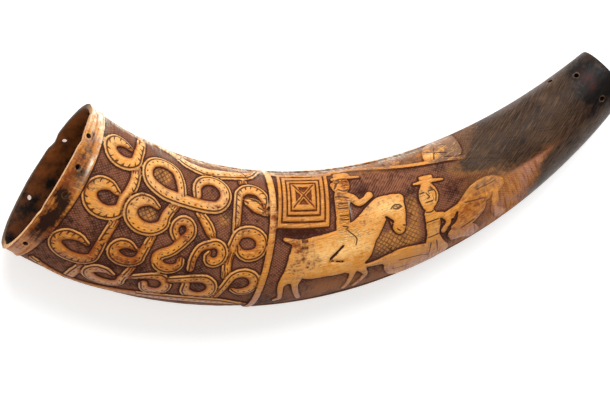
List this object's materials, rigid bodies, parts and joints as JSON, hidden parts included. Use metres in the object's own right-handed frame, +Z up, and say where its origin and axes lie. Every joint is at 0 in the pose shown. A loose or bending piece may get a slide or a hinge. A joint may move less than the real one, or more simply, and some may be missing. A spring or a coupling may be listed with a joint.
{
  "type": "carved powder horn",
  "caption": "Curved, flattened hollow horn, open at both ends, with raised serpent loops, nested squares, a rider and beasts carved round it.",
  "frame": {"origin": "middle of the box that the horn fills, on the surface that it lies on", "axes": "+X runs from the wide mouth to the narrow tip, +Y to the inner side of the curve, +Z up through the carved front"},
  "size_m": [0.3222, 0.1158, 0.0493],
  "materials": {
    "horn": "carved and polished cattle horn, satin, honey on the raised parts and dark in the cut ground, dark brown neck and tip"
  },
  "bodies": {
    "root": {"horn": "horn"}
  },
  "joints": []
}
